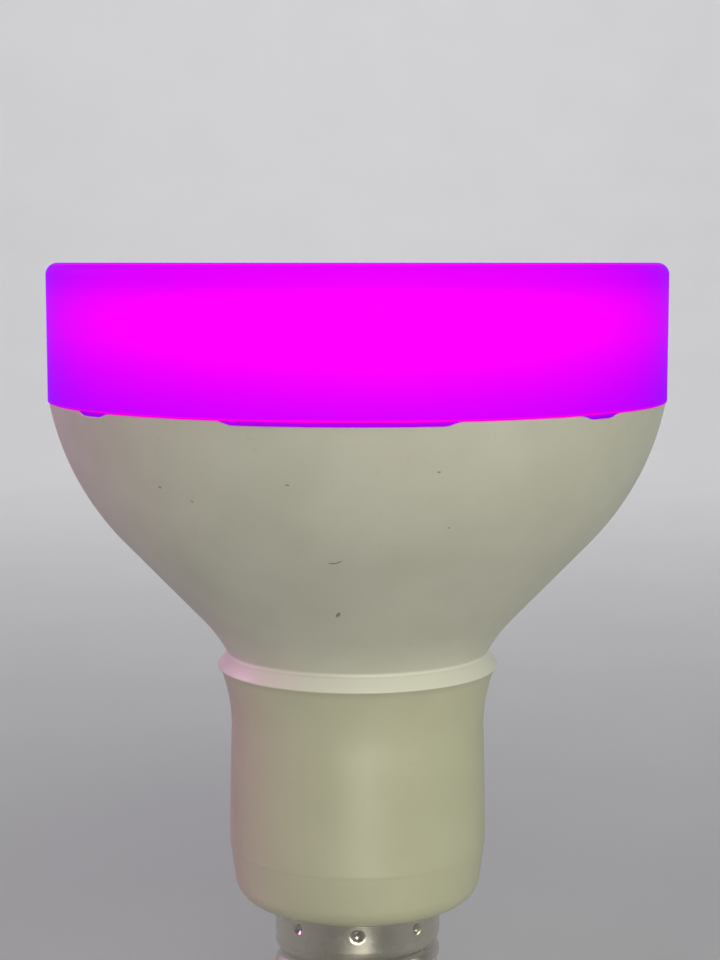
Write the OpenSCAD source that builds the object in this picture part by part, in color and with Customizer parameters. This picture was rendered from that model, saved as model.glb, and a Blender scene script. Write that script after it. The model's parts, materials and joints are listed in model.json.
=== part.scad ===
// Colour-changing wireless LED flood bulb with a medium screw cap (E26, 7 threads per inch).
// The origin is on the axis at the tip of the centre contact, and +Z points to the lens.

/* [Outside] */
// Diameter of the lens drum
lens_d = 95; // [94:0.5:96]
// Height of the lens drum above the bowl's rim
lens_h = 20.9; // [19:0.1:23]
// Radius of the lens drum's top edge
lens_edge_r = 1.8; // [1:0.1:3]
// Height of the bowl, from the collar's lip to the rim
bowl_l = 39.5; // [39:0.1:40]
// Diameter of the bowl at its rim
bowl_rim_d = 94.6; // [94:0.1:95]
// Diameter where the bowl meets the collar
notch_d = 40.8; // [40.6:0.1:41]
// Height of the neck collar
collar_l = 39.6; // [39:0.1:41]
// Diameter of the collar's sharp lip
lip_d = 43.9; // [43.7:0.1:44.1]
// Diameter of the collar's waist under the lip
waist_d = 39.74; // [39.6:0.02:40]
// Diameter of the collar above its lower step
belly_d = 40.4; // [40.2:0.1:40.8]
// Diameter of the collar's foot below the step
foot_d = 40.06; // [39.8:0.02:40.1]
// Radius of the round at the collar's lower end
foot_r = 3.75; // [3:0.25:4]
// Length of the screw cap, from contact tip to collar
cap_l = 27; // [26.5:0.1:27.5]

/* [Bowl curve, degrees from vertical] */
// Tilt of the bowl's wall at the rim
rim_tilt = 10.3; // [9:0.1:12]
// Tilt of the bowl's straight cone
cone_tilt = 43.7; // [43:0.1:45]
// Tilt of the bowl's wall where it meets the collar
neck_tilt = 28; // [26:1:30]
// Radius of the hollow curve between cone and collar
sweep_r = 26; // [22:1:28]

/* [Walls] */
// Wall of the lens
lens_wall = 1.6; // [1.2:0.1:2]
// Wall of the plastic bowl
bowl_wall = 1.9; // [1.6:0.1:2.2]
// Sheet of the aluminium lining
lining_wall = 1; // [0.8:0.1:1.2]
// Sheet of the aluminium LED plate
plate_wall = 1.5; // [1.2:0.1:2]

/* [Screw cap] */
// Diameter over the thread's crests
thread_d = 26.2; // [26.05:0.05:26.4]
// Depth of the rolled thread
thread_depth = 0.7; // [0.6:0.05:0.8]
// Thread pitch
thread_pitch = 3.629; // [3.6:0.001:3.65]
// Brass sheet of the screw shell
shell_wall = 0.3; // [0.25:0.05:0.35]
// Diameter of the centre contact
contact_d = 9.5; // [9:0.1:10]

/* [Light sources] */
// Diameter of the LED board
led_board_d = 68; // [66:1:69]
// Number of LEDs of each white on the outer circle
white_count = 12; // [8:1:12]
// Number of LEDs of each colour on the inner circle
colour_count = 6; // [4:1:6]

/* [Hidden] */
$fn = 96;
fit_gap = 0.05;

notch_z = cap_l + collar_l;
rim_z = notch_z + bowl_l;
top_z = rim_z + lens_h;

// The bowl's outline is an arc, a straight cone and a hollow arc, all tangent. The arc's radius
// and the cone's length follow from the drop and the reach between rim and notch.
reach = (bowl_rim_d - notch_d) / 2 - sweep_r * (cos(neck_tilt) - cos(cone_tilt));
drop = bowl_l - sweep_r * (sin(cone_tilt) - sin(neck_tilt));
arc_reach = cos(rim_tilt) - cos(cone_tilt);
arc_drop = sin(cone_tilt) - sin(rim_tilt);
solve = arc_reach * cos(cone_tilt) - sin(cone_tilt) * arc_drop;
bulge_r = (reach * cos(cone_tilt) - sin(cone_tilt) * drop) / solve;
bulge_c = [bowl_rim_d / 2 - bulge_r * cos(rim_tilt), rim_z + bulge_r * sin(rim_tilt)];
sweep_c = [notch_d / 2 + sweep_r * cos(neck_tilt), notch_z - sweep_r * sin(neck_tilt)];

// Collar
lip_round = 0.25;
lip_face_r = 10;
lip_face_low = 31;
lip_face_high = 45;
lip_c = [lip_d / 2 - lip_round, notch_z - 2.15];
lip_face_c = lip_c - (lip_face_r - lip_round) * [cos(lip_face_low), sin(lip_face_low)];
waist_z = notch_z - 11.6;
flare_r = 25.3;
flare_tilt = 20.2;
step_z = cap_l + 9;
step_h = 0.35;
foot_taper = 0.6;
collar_bore_r = 18.45;
floor_h = 2;

// Spigot of the bowl inside the collar, and spigot of the collar inside the screw shell
bowl_spigot_r = collar_bore_r - fit_gap;
bowl_spigot_bore_r = 16.9;
bowl_spigot_l = 8.6;
bead_z = notch_z - 7;
cap_spigot_r = thread_d / 2 - thread_depth - shell_wall - 0.15;
cap_spigot_bore_r = 10.3;
cap_spigot_z = 7.5;
shoulder_r = thread_d / 2 - shell_wall - fit_gap;
shoulder_z = cap_l - 5;
dimple_z = cap_l - 2.8;
dimple_count = 8;
dimple_depth = 0.45;
wire_slot_z = 18.8;

// Lens seat
seat_r = 45.35;
seat_h = 3.1;
lens_spigot_r = seat_r - fit_gap;
lens_spigot_wall = 1.4;
glue_z = rim_z - 2.1;

// The lens drops into shallow reliefs in the bowl's rim: two long ones, each with a short one
// on either side. Angles are in degrees, and the first long one faces -Y.
relief_depth = 0.65;
relief_groups = 2;
relief_turn = -3.2;
long_relief = 38;
short_relief = 7.2;
short_relief_step = 49.2;

// LED plate and board
plate_z = rim_z - 7.5;
plate_rim_z = rim_z - 3.2;
pad_z = plate_z + plate_wall;
pad_h = 0.2;
led_board_z = pad_z + pad_h;
led_board_h = 1.2;
led_z = led_board_z + led_board_h;
screw_circle_r = 25;
screw_count = 3;
screw_r = 1.25;
screw_head_r = 2.4;
white_circle_r = 30;
colour_circle_r = 20;
led_size = [2.8, 3.5, 0.7];

// Driver board stands upright in the neck: x is across, y through, z up
board_y = 2.2;
board_t = 1.6;
board_back = board_y + board_t;
board_z = cap_l + 4;
board_w = 28;
board_top_w = 40;
board_top_z = rim_z - 14.1;
rail_x = 12.5;
rail_t = 1.15;
rail_top_z = notch_z - 10.6;

// Plug-in pins from the driver board to the LED board
pin_count = 5;
pin_pitch = 2.54;
pin_side = 0.64;
pin_y = board_back + pin_side / 2;
pin_x0 = -pin_pitch * (pin_count - 1) / 2;

// Wireless board stands on the LED board
radio_y = -8;
radio_t = 0.8;
radio_w = 16;
radio_tab_w = 12;
radio_h = 15.5;

// Centres of the parts on the driver board, as [x, z], and their sizes
transformer_at = [-8.5, rim_z - 23];
transformer_y = board_y - 6.6;
choke_at = [9, rim_z - 22];
output_cap_at = [-7, notch_z - 4.6];
output_cap_r = 4;
output_cap_l = 12;
film_cap_at = [7.5, notch_z - 4.6];
varistor_at = [-6.5, cap_l + 19];
fuse_at = [7, cap_l + 15.5];
bulk_cap_r = 5;
bulk_cap_l = 17;
bulk_cap_z = cap_l + 0.2 - bulk_cap_l;
bulk_cap_y = 1.85;
sleeve_t = 0.15;
lead_r = 0.3;
bridge_at = [0, cap_l + 18];
driver_chip_at = [0, notch_z - 7];
colour_chip_at = [0, notch_z + 8];
diodes_at = [for (x = [-9.5, 9.5], z = [bridge_at[1], board_top_z - 2.9]) [x, z]];

// Leads that pass through the driver board, as [x, z, y where the lead leaves its part]
through_leads = concat(
    [for (s = [-1, 1], t = [-1, 1])
        [transformer_at[0] + s * 4, transformer_at[1] + t * 3.6, transformer_y + 6.2]],
    [for (s = [-1, 1]) [choke_at[0] + s * 2.5, choke_at[1], board_y - 1.2]],
    [for (s = [-1, 1]) [output_cap_at[0] + s * 1.75, output_cap_at[1], board_y - 0.4]],
    [for (s = [-1, 1]) [film_cap_at[0], film_cap_at[1] + s * 3.75, board_y - 0.4]],
    [for (s = [-1, 1]) [varistor_at[0], varistor_at[1] + s * 2.5, board_y - 1.7]],
    [for (s = [-1, 1]) [fuse_at[0], fuse_at[1] + s * 6.5, board_y - 2]]);

live_route = [[6, 1.6, 35], [6.2, 0.6, 33], [6.8, -0.8, 30], [7.8, -1.6, 26], [8, -2, 20],
    [7.9, -2, 14], [7, -1.7, 10.6], [5, -1.2, 9.4], [2.6, -0.6, 9.3], [0.9, -0.2, 9.2],
    [0.1, 0, 8.4], [0, 0, 6.5], [0, 0, 3.5]];
neutral_route = [[-6, 1.6, 35], [-6.4, 0.6, 33], [-7.6, 0, 30], [-8.8, 0, 26], [-9.2, 0, 22],
    [-9.5, 0, 19], [-10.3, 0, 17.9], [-11.1, 0, 17.2], [-11.45, 0, 16], [-11.45, 0, 12],
    [-11.45, 0, 8.4]];
wire_r = 0.5;

bone = [0.93, 0.91, 0.84];
sheet_metal = [0.78, 0.79, 0.8];
board_green = [0.1, 0.38, 0.2];
tin = [0.82, 0.82, 0.8];

// ---- outlines, as [radius, height] points ----

function arc_points(c, r, from, to, steps) =
    [for (i = [0:steps]) let (a = from + (to - from) * i / steps) c + r * [cos(a), sin(a)]];

function reversed(points) = [for (i = [len(points) - 1:-1:0]) points[i]];

// The bowl's outer line, moved inwards by d
function bowl_line(d) = concat(
    arc_points(bulge_c, bulge_r - d, -rim_tilt, -cone_tilt, 14),
    arc_points(sweep_c, sweep_r + d, 180 - cone_tilt, 180 - neck_tilt, 7));

function rounded_rect(w, d, r, steps = 4) = concat(
    arc_points([w / 2 - r, d / 2 - r], r, 0, 90, steps),
    arc_points([r - w / 2, d / 2 - r], r, 90, 180, steps),
    arc_points([r - w / 2, r - d / 2], r, 180, 270, steps),
    arc_points([w / 2 - r, r - d / 2], r, 270, 360, steps));

// Everything inside the bowl line at depth d, between two heights
module bowl_fill(d, low, high) {
    line = bowl_line(d);
    intersection() {
        polygon(concat([[0, line[0][1]]], line, [[0, line[len(line) - 1][1]]]));
        translate([0, low]) square([bowl_rim_d, high - low]);
    }
}

// A flat ring's half section
module band(inner, outer, low, high) {
    translate([inner, low]) square([outer - inner, high - low]);
}

// A block with its centre at x and z, from y to y plus its depth
module block(size, at, y) {
    translate([at[0] - size[0] / 2, y, at[1] - size[2] / 2]) cube(size);
}

// A cylinder along y
module peg(r, l, at, y) {
    translate([at[0], y, at[1]]) rotate([-90, 0, 0]) cylinder(r = r, h = l);
}

// A round wire along a list of points, closed at both ends
module wire(route, r, sides = 8) {
    last = len(route) - 1;
    rings = [for (i = [0:last])
        let (
            t = route[min(i + 1, last)] - route[max(i - 1, 0)],
            w = t / norm(t),
            u = cross(w, [0, 1, 0.01]) / norm(cross(w, [0, 1, 0.01])),
            v = cross(w, u))
        for (k = [0:sides - 1]) let (a = 360 * k / sides) route[i] + r * (cos(a) * u + sin(a) * v)];
    polyhedron(rings, concat(
        [[for (k = [sides - 1:-1:0]) k]],
        [for (i = [0:last - 1], k = [0:sides - 1]) let (a = i * sides, b = (k + 1) % sides)
            [a + k, a + b, a + sides + b, a + sides + k]],
        [[for (k = [0:sides - 1]) last * sides + k]]), convexity = 8);
}

// ---- plastic outside ----

// Ring sectors under the lens's edge: cuts in the bowl's rim, or a little smaller, the lens's tabs
module rim_sectors(inner, outer, high, gap) {
    for (g = [0:relief_groups - 1], side = [-1:1]) {
        width = (side == 0 ? long_relief : short_relief) - 2 * gap;
        middle = -90 + relief_turn + 360 * g / relief_groups + side * short_relief_step;
        rotate(middle - width / 2) rotate_extrude(angle = width)
            band(inner, outer, rim_z - relief_depth + gap, high);
    }
}

module diffuser_lens() {
    r = lens_d / 2;
    inner = r - lens_wall;
    inner_edge = lens_edge_r - 0.8;
    ceiling = top_z - lens_wall;
    spigot_bore = lens_spigot_r - lens_spigot_wall;
    color("magenta", 0.85) {
        rotate_extrude() difference() {
            polygon(concat(
                [[0, top_z]],
                reversed(arc_points([r - lens_edge_r, top_z - lens_edge_r], lens_edge_r, 0, 90, 6)),
                [[r, rim_z], [lens_spigot_r, rim_z], [lens_spigot_r, rim_z - seat_h + fit_gap],
                    [spigot_bore, rim_z - seat_h + fit_gap], [spigot_bore, rim_z + 0.8],
                    [inner, rim_z + 2.6]],
                arc_points([inner - inner_edge, ceiling - inner_edge], inner_edge, 0, 90, 4),
                [[0, ceiling]]));
            band(lens_spigot_r - 0.5, lens_spigot_r + 1, glue_z, glue_z + 1);
        }
        rim_sectors(lens_spigot_r - 0.3, bowl_rim_d / 2 - 0.2, rim_z + 0.5, fit_gap);
    }
}

module lens_adhesive() {
    color("ivory") rotate_extrude() band(lens_spigot_r - 0.5, seat_r - 0.01, glue_z, glue_z + 1);
}

module upper_housing() {
    low = notch_z - bowl_spigot_l;
    color(bone) {
        difference() {
            rotate_extrude() difference() {
                bowl_fill(0, notch_z, rim_z);
                bowl_fill(bowl_wall, notch_z + 1.8, rim_z + 1);
                band(-1, bowl_spigot_bore_r, notch_z - 1, notch_z + 3);
                band(0, seat_r, rim_z - seat_h, rim_z + 1);
            }
            rim_sectors(seat_r - 1, bowl_rim_d / 2 + 1, rim_z + 1, 0);
        }
        // Spigot that snaps into the collar, with its bead
        rotate_extrude() polygon([
            [bowl_spigot_bore_r, low], [bowl_spigot_r, low], [bowl_spigot_r, bead_z],
            [bowl_spigot_r + 0.3, bead_z + 0.4], [bowl_spigot_r + 0.3, bead_z + 0.8],
            [bowl_spigot_r, bead_z + 1.2], [bowl_spigot_r, notch_z + 1],
            [bowl_spigot_bore_r, notch_z + 1]]);
    }
}

function collar_line() = concat(
    arc_points(lip_face_c, lip_face_r, lip_face_high, lip_face_low, 4),
    arc_points(lip_c, lip_round, lip_face_low, -45, 4),
    arc_points([waist_d / 2 + flare_r, waist_z], flare_r, 180 - flare_tilt, 180, 8),
    [for (i = [1:5]) let (t = i / 5)
        [waist_d / 2 + (belly_d - waist_d) / 2 * sin(90 * t), waist_z - (waist_z - step_z) * t]],
    [[foot_d / 2, step_z - step_h]],
    arc_points([foot_d / 2 - foot_taper - foot_r, cap_l + foot_r], foot_r, 0, -90, 8));

module neck_collar() {
    color(bone) difference() {
        union() {
            rotate_extrude() difference() {
                union() {
                    polygon(concat(collar_line(), [[cap_spigot_bore_r, cap_l],
                        [cap_spigot_bore_r, cap_l + floor_h], [collar_bore_r, cap_l + floor_h],
                        [collar_bore_r, notch_z - fit_gap]]));
                    band(cap_spigot_bore_r, cap_spigot_r, cap_spigot_z, cap_l + 1);
                    band(cap_spigot_bore_r, shoulder_r, shoulder_z, cap_l + 1);
                }
                band(collar_bore_r - 1, collar_bore_r + 0.35, bead_z - 0.1, bead_z + 1.3);
                band(shoulder_r - 0.6, shoulder_r + 1, dimple_z - 1.2, dimple_z + 1.2);
            }
            intersection() {
                translate([0, 0, cap_l + 1]) cylinder(r = collar_bore_r + 0.4, h = rail_top_z - cap_l);
                for (s = [-1, 1]) translate([s * rail_x, 0, 0]) mirror([s < 0 ? 1 : 0, 0, 0]) {
                    for (y = [board_y - fit_gap - rail_t, board_back + fit_gap])
                        translate([0, y, cap_l + 1]) cube([8, rail_t, rail_top_z - cap_l - 1]);
                    translate([0, board_y - 0.5, cap_l + 1]) cube([8, board_t + 1, 3]);
                }
            }
        }
        translate([-cap_spigot_r - 1, -0.75, cap_spigot_z - 1])
            cube([2.1, 1.5, wire_slot_z - cap_spigot_z + 1]);
        translate([-cap_spigot_r - 1, -0.75, wire_slot_z - 2.4]) cube([3.5, 1.5, 2.4]);
    }
}

// ---- aluminium heat path ----

module aluminium_lining() {
    d = bowl_wall + fit_gap;
    color(sheet_metal) rotate_extrude() difference() {
        bowl_fill(d, notch_z + 3, plate_rim_z);
        bowl_fill(d + lining_wall, notch_z + 2, plate_rim_z + 1);
    }
}

// Openings for the pins and for the wireless board's tab, wider by grow
module board_slots(grow, low, h) {
    translate([0, 0, low]) {
        translate([pin_x0 - 1 - grow, pin_y - 1 - grow, 0])
            cube([-2 * pin_x0 + 2 + 2 * grow, 2 + 2 * grow, h]);
        translate([-radio_tab_w / 2 - 0.2 - grow, radio_y - 0.5 - grow, 0])
            cube([radio_tab_w + 0.4 + 2 * grow, 1 + 2 * grow, h]);
    }
}

module on_screw_circle() {
    for (i = [0:screw_count - 1]) rotate(360 * i / screw_count + 7.5)
        translate([screw_circle_r, 0, 0]) children();
}

module led_plate() {
    d = bowl_wall + lining_wall + 2 * fit_gap;
    color(sheet_metal) difference() {
        rotate_extrude() difference() {
            bowl_fill(d, plate_z, plate_rim_z);
            bowl_fill(d + plate_wall, pad_z, plate_rim_z + 1);
        }
        board_slots(1.5, plate_z - 1, plate_wall + 2);
        on_screw_circle() translate([0, 0, plate_z - 1]) cylinder(r = screw_r + 0.02, h = 4);
    }
}

module thermal_pad() {
    color("lightgray") difference() {
        translate([0, 0, pad_z]) cylinder(d = led_board_d - 2, h = pad_h);
        board_slots(1.5, pad_z - 1, 2);
        on_screw_circle() translate([0, 0, pad_z - 1]) cylinder(r = screw_r + 0.3, h = 2);
    }
}

module led_board() {
    color("white") difference() {
        translate([0, 0, led_board_z]) cylinder(d = led_board_d, h = led_board_h);
        board_slots(0, led_board_z - 1, led_board_h + 2);
        on_screw_circle() translate([0, 0, led_board_z - 1]) cylinder(r = screw_r + 0.2, h = 4);
    }
}

// White cone from the LED board's edge up to the lens
module reflector_ring() {
    low = led_z + 0.05;
    inner = led_board_d / 2 - 1.4;
    outer = lens_spigot_r - lens_spigot_wall - 0.3;
    color("whitesmoke") rotate_extrude() polygon([
        [inner, low], [inner + 5.5, low], [outer, rim_z - 0.3], [outer - 0.6, rim_z + 0.3],
        [inner + 5, low + 0.8], [inner, low + 0.8]]);
}

// One surface-mount LED with its shallow round window
module led_package() {
    translate([0, 0, led_z]) difference() {
        translate([-led_size[0] / 2, -led_size[1] / 2, 0]) cube(led_size);
        translate([0, 0, led_size[2] - 0.15]) cylinder(r = 1.15, h = 1, $fn = 32);
    }
}

module led_circle(count, r, start) {
    for (i = [0:count - 1]) rotate(start + 360 * i / count) translate([r, 0, 0]) led_package();
}

white_step = 360 / white_count;
colour_step = 360 / colour_count;
module warm_white_leds() { color("khaki") led_circle(white_count, white_circle_r, 0); }
module cool_white_leds() { color("lemonchiffon") led_circle(white_count, white_circle_r, white_step / 2); }
module red_leds() { color("red") led_circle(colour_count, colour_circle_r, 0); }
module green_leds() { color("lime") led_circle(colour_count, colour_circle_r, colour_step / 3); }
module blue_leds() { color("blue") led_circle(colour_count, colour_circle_r, colour_step * 2 / 3); }

module board_screws() {
    head_h = 1.5;
    color("silver") on_screw_circle() difference() {
        union() {
            translate([0, 0, plate_z - 1.5]) cylinder(r = screw_r, h = led_z - plate_z + 2);
            translate([0, 0, led_z]) cylinder(r = screw_head_r, h = head_h - 0.5);
            translate([0, 0, led_z + head_h - 0.5])
                cylinder(r1 = screw_head_r, r2 = screw_head_r - 0.7, h = 0.5);
        }
        for (a = [0, 90]) rotate(a) translate([-1.3, -0.25, led_z + head_h - 0.8]) cube([2.6, 0.5, 2]);
    }
}

// ---- wireless module and plug ----

module wireless_board() {
    color(board_green) translate([0, radio_y + radio_t / 2, 0]) rotate([90, 0, 0])
        linear_extrude(radio_t) polygon([
            [-radio_tab_w / 2, led_z - 2.6], [radio_tab_w / 2, led_z - 2.6],
            [radio_tab_w / 2, led_z], [radio_w / 2, led_z], [radio_w / 2, led_z + radio_h],
            [-radio_w / 2, led_z + radio_h], [-radio_w / 2, led_z], [-radio_tab_w / 2, led_z]]);
}

module wireless_shield_can() {
    size = [12, 1.8, 9];
    wall = 0.2;
    front = radio_y - radio_t / 2;
    at = [0, led_z + 6.5];
    color(tin) difference() {
        block(size, at, front - size[1]);
        block(size - [2 * wall, 0, 2 * wall], at, front - size[1] + wall);
    }
}

// Meander printed on the wireless board's top end
module antenna_trace() {
    turns = 6;
    pitch = 2.2;
    w = 0.6;
    h = 3;
    low = led_z + radio_h - h - 0.6;
    color("goldenrod") translate([-turns * pitch / 2, radio_y - radio_t / 2 - 0.05, low]) {
        for (i = [0:turns]) translate([i * pitch - w / 2, 0, 0]) cube([w, 0.05, h]);
        for (i = [0:turns - 1]) translate([i * pitch - w / 2, 0, i % 2 == 0 ? h - w : 0])
            cube([pitch + w, 0.05, w]);
    }
}

module for_each_pin() {
    for (i = [0:pin_count - 1]) translate([pin_x0 + i * pin_pitch, pin_y, 0]) children();
}

module board_socket() {
    size = [14, 4, 4.5];
    color("white") difference() {
        translate([-size[0] / 2, pin_y - size[1] / 2, led_z]) cube(size);
        for_each_pin() translate([-0.4, -0.4, led_z - 1]) cube([0.8, 0.8, 7]);
    }
}

module header_strip() {
    color("dimgray") difference() {
        translate([-6.5, board_back, board_top_z - 3.2]) cube([13, 2.5, 2.5]);
        for_each_pin() translate([-0.34, -0.34, board_top_z - 4]) cube([0.68, 0.68, 5]);
    }
}

module header_pins() {
    low = board_top_z - 3.9;
    color("gold") for_each_pin() translate([-pin_side / 2, -pin_side / 2, low])
        cube([pin_side, pin_side, led_z + 3.6 - low]);
}

// ---- driver board and what it carries ----

module driver_board() {
    shoulder = notch_z + 1.4;
    color(board_green) difference() {
        translate([0, board_back, 0]) rotate([90, 0, 0]) linear_extrude(board_t) polygon([
            [-board_w / 2, board_z], [board_w / 2, board_z], [board_w / 2, shoulder],
            [board_top_w / 2, shoulder + 10], [board_top_w / 2, board_top_z],
            [-board_top_w / 2, board_top_z], [-board_top_w / 2, shoulder + 10],
            [-board_w / 2, shoulder]]);
        for (p = through_leads) peg(lead_r + 0.1, board_t + 2, [p[0], p[1]], board_y - 1, $fn = 24);
    }
}

module at_transformer() { translate([transformer_at[0], transformer_y, transformer_at[1]]) children(); }

module transformer_core() {
    color("dimgray") at_transformer() difference() {
        translate([-6.5, -3, -6]) cube([13, 6, 12]);
        for (s = [-1, 1]) translate([s * 3.2 - 1.8, -4, -4.6]) cube([3.6, 8, 9.2]);
    }
}

module transformer_bobbin() {
    color("black") at_transformer() difference() {
        union() {
            translate([0, 0, -4.4]) linear_extrude(8.8) polygon(rounded_rect(4.1, 7.4, 0.4));
            for (z = [-4.4, 3.6]) translate([0, 0, z])
                linear_extrude(0.8) polygon(rounded_rect(9.6, 12.4, 0.6));
        }
        translate([-1.45, -3.05, -5]) cube([2.9, 6.1, 10]);
    }
}

module transformer_winding() {
    color("gold") at_transformer() translate([0, 0, -3.55]) linear_extrude(7.1) difference() {
        polygon(rounded_rect(9, 11.6, 1.6));
        polygon(rounded_rect(4.14, 7.44, 0.4));
    }
}

module choke_core() {
    y = board_y - 9.4;
    color("dimgray") {
        peg(4.2, 1.2, choke_at, y);
        peg(2, 8.2, choke_at, y);
        peg(4.2, 1.2, choke_at, y + 7);
    }
}

module choke_winding() {
    color("chocolate") difference() {
        peg(3.8, 5.7, choke_at, board_y - 8.15);
        peg(2.03, 8, choke_at, board_y - 9);
    }
}

module bulk_capacitor() {
    color(tin) translate([0, bulk_cap_y, bulk_cap_z])
        cylinder(r = bulk_cap_r - sleeve_t - 0.01, h = bulk_cap_l);
}

module output_capacitor() {
    color(tin) peg(output_cap_r - sleeve_t - 0.01, output_cap_l, output_cap_at,
        board_y - 0.4 - output_cap_l);
}

// A thin sleeve round a capacitor's can, turned over its closed end, standing on z = 0
module cap_sleeve(r, l) {
    rotate_extrude() {
        band(r - sleeve_t, r, 0.2, l - 0.2);
        band(r - 1.2, r, -sleeve_t, -0.01);
        polygon([[r - sleeve_t, 0.3], [r - sleeve_t, -0.01], [r - 0.3, -0.01],
            [r - 0.3, -sleeve_t], [r, -sleeve_t], [r, 0.3]]);
    }
}

module capacitor_sleeves() {
    color("midnightblue") {
        translate([0, bulk_cap_y, bulk_cap_z]) cap_sleeve(bulk_cap_r, bulk_cap_l);
        translate([output_cap_at[0], board_y - 0.4 - output_cap_l, output_cap_at[1]])
            rotate([-90, 0, 0]) cap_sleeve(output_cap_r, output_cap_l);
    }
}

module film_capacitor() {
    color("goldenrod") translate([film_cap_at[0], board_y - 0.4, film_cap_at[1]])
        rotate([90, 0, 0]) linear_extrude(9) polygon(rounded_rect(6, 12, 0.8));
}

module varistor() {
    color("royalblue") translate([varistor_at[0], board_y - 4.4, varistor_at[1]]) rotate([0, 90, 0])
        rotate_extrude() polygon(concat([[0, -1.5]], arc_points([2.7, -0.7], 0.8, -90, 0, 4),
            arc_points([2.7, 0.7], 0.8, 0, 90, 4), [[0, 1.5]]));
}

module fuse_resistor() {
    color("seagreen") translate([fuse_at[0], board_y - 2.4, fuse_at[1] - 4.5])
        rotate_extrude() polygon(concat([[0, 0]], arc_points([0.8, 0.8], 0.8, -90, 0, 4),
            [[1.4, 2], [1.4, 7]], arc_points([0.8, 8.2], 0.8, 0, 90, 4), [[0, 9]]));
}

module bridge_rectifier() { color("black") block([4.7, 2.3, 3.9], bridge_at, board_back + 0.15); }

module driver_chip() { color("black") block([4.9, 1.4, 3.9], driver_chip_at, board_back + 0.15); }

module colour_driver_chip() { color("black") block([9.9, 1.4, 3.9], colour_chip_at, board_back + 0.15); }

module diodes() {
    color("black") for (at = diodes_at) block([2.6, 2.2, 4.3], at, board_back + 0.02);
}

// Legs in two rows above and below a package of height h
module leg_rows(at, count, pitch, w, h) {
    for (i = [0:count - 1], s = [-1, 1])
        translate([at[0] + (i - (count - 1) / 2) * pitch, 0, at[1] + s * h / 2])
            mirror([0, 0, s < 0 ? 1 : 0]) translate([-w / 2, board_back, 0]) {
                cube([w, 0.18, 1.1]);
                translate([0, 0, 0.35]) cube([w, 0.9, 0.18]);
                translate([0, 0.72, 0]) cube([w, 0.18, 0.53]);
            }
}

module chip_legs() {
    color(tin) {
        leg_rows(bridge_at, 2, 2.5, 0.65, 3.9);
        leg_rows(driver_chip_at, 4, 1.27, 0.4, 3.9);
        leg_rows(colour_chip_at, 8, 1.27, 0.4, 3.9);
    }
}

module chip_row(size, at, count, pitch) {
    for (i = [0:count - 1]) block(size, [at[0] + (i - (count - 1) / 2) * pitch, at[1]], board_back);
}

module chip_resistors() {
    color("black") {
        chip_row([1.25, 0.5, 2], [0, driver_chip_at[1] - 6], 5, 2.2);
        chip_row([1.25, 0.5, 2], [0, colour_chip_at[1] - 5.5], 6, 2.2);
        chip_row([1.6, 0.55, 3.2], [0, bridge_at[1] - 7], 3, 2.8);
    }
}

module chip_capacitors() {
    color("tan") {
        chip_row([1.25, 1, 2], [0, driver_chip_at[1] + 6], 4, 2.4);
        chip_row([1.25, 1, 2], [0, colour_chip_at[1] + 5.5], 3, 2.4);
    }
}

module component_leads() {
    color(tin) {
        for (p = through_leads) peg(lead_r, board_back + 1 - p[2], [p[0], p[1]], p[2], $fn = 24);
        for (s = [-1, 1]) {
            // Lying along the board from the capacitor in the cap
            translate([s * 2.5, bulk_cap_y, bulk_cap_z + bulk_cap_l])
                cylinder(r = lead_r, h = board_z + 4 - bulk_cap_z - bulk_cap_l, $fn = 24);
            translate([fuse_at[0], board_y - 2.4, fuse_at[1] + s * 4.5])
                mirror([0, 0, s < 0 ? 1 : 0]) cylinder(r = lead_r, h = 2.2, $fn = 24);
        }
    }
}

module solder_joints() {
    color(tin) for (p = through_leads)
        translate([p[0], board_back, p[1]]) rotate([-90, 0, 0]) difference() {
            cylinder(r1 = 1, r2 = 0.5, h = 0.8, $fn = 32);
            translate([0, 0, -1]) cylinder(r = lead_r + 0.01, h = 3, $fn = 24);
        }
}

module live_wire() { color("firebrick") wire(live_route, wire_r); }

module neutral_wire() { color("white") wire(neutral_route, wire_r); }

// ---- screw cap ----

function smooth(t) = let (c = min(max(t, 0), 1)) c * c * (3 - 2 * c);

shell_low_z = 5.35;
curl_r = 10.2;
curl_z = 7.6;
plain_z = shoulder_z - 0.4;
shell_top_z = cap_l - 0.05;
around = 40;
shell_mid_r = thread_d / 2 - thread_depth / 2 - shell_wall / 2;

// Middle line of the sheet at height z and angle a, with the rolled thread and the punched dimples
function shell_mid(z, a) =
    let (
        fade = smooth((z - curl_z + 0.4) / 2) * smooth((plain_z - z) / 2),
        wave = thread_depth / 2 * (fade * cos(360 * z / thread_pitch - a) + smooth((z - plain_z + 1.5) / 1.5)),
        lip = 0.2 * smooth((z - shell_top_z + 1) / 1),
        dimple = abs(z - dimple_z) < 0.5 && (round(a * around / 360) % (around / dimple_count) == 0)
            ? dimple_depth : 0)
    shell_mid_r + wave + lip - dimple;

curl_top_r = shell_mid_r - 0.1;
shell_heights = concat(
    [for (i = [0:31]) curl_z + (plain_z - curl_z) * i / 31],
    [plain_z + 0.9, dimple_z - 1, dimple_z, dimple_z + 1, shell_top_z - 0.6, shell_top_z]);

// One ring of points round the shell, on its outer (+1) or inner (-1) face
function shell_ring(z, side) = [for (k = [0:around - 1]) let (a = 360 * k / around,
    r = shell_mid(z, a) + side * shell_wall / 2) [r * cos(a), r * sin(a), z]];

function curl_ring(u, side) = let (
    r = curl_r + (curl_top_r - curl_r) * sin(u) + side * shell_wall / 2 * sin(u),
    z = curl_z - (curl_z - shell_low_z) * cos(u) - side * shell_wall / 2 * cos(u))
    [for (k = [0:around - 1]) let (a = 360 * k / around) [r * cos(a), r * sin(a), z]];

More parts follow.
